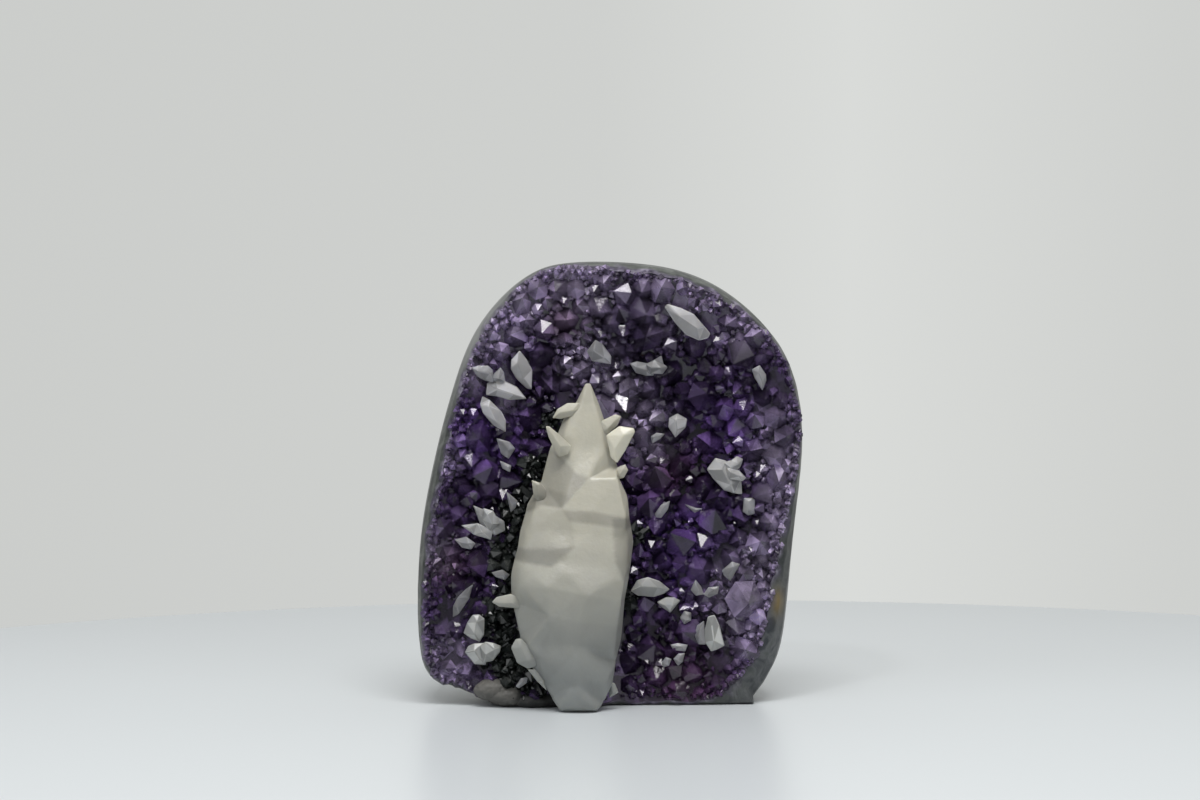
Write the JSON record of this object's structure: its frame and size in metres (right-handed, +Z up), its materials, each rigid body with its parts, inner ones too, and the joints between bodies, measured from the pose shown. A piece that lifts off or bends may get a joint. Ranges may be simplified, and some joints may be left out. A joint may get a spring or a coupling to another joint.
{
  "type": "amethyst geode",
  "caption": "Free-standing dome-shaped piece of geode: polished rock rim round a hollow lined with amethyst points, with a tall pale calcite spire and small calcite crystals in front.",
  "frame": {"origin": "on the surface it stands on, at the middle of the whole object's box", "axes": "+Z up, -Y towards the viewer of the crystal face, +X to that viewer's right"},
  "size_m": [0.1104, 0.0676, 0.1256],
  "materials": {
    "rock": "polished grey-green rim, rough natural back",
    "amethyst": "clear purple crystal with glassy faces",
    "calcite": "frosted, waxy, translucent cream crystal"
  },
  "bodies": {
    "root": {"rock": "rock", "amethyst_crust": "amethyst", "calcite_spire": "calcite", "calcite_blade_top_right": "calcite", "calcite_leaf_upper_left": "calcite", "calcite_blade_upper_left": "calcite", "calcite_chip_upper_left": "calcite", "calcite_blade_left": "calcite", "calcite_tooth_left": "calcite", "calcite_star_left": "calcite", "calcite_sliver_left": "calcite", "calcite_leaf_lower_left": "calcite", "calcite_knob_lower_left": "calcite", "calcite_pair_lower_left": "calcite", "calcite_leaf_beside_spire": "calcite", "calcite_star_right": "calcite", "calcite_pair_top": "calcite", "calcite_leaf_far_right": "calcite", "calcite_wedge_top": "calcite", "calcite_leaf_low_middle": "calcite", "calcite_chip_low_middle": "calcite", "calcite_blade_lower_right": "calcite", "calcite_chip_lower_right": "calcite", "calcite_tooth_lower_right": "calcite"}
  },
  "joints": []
}
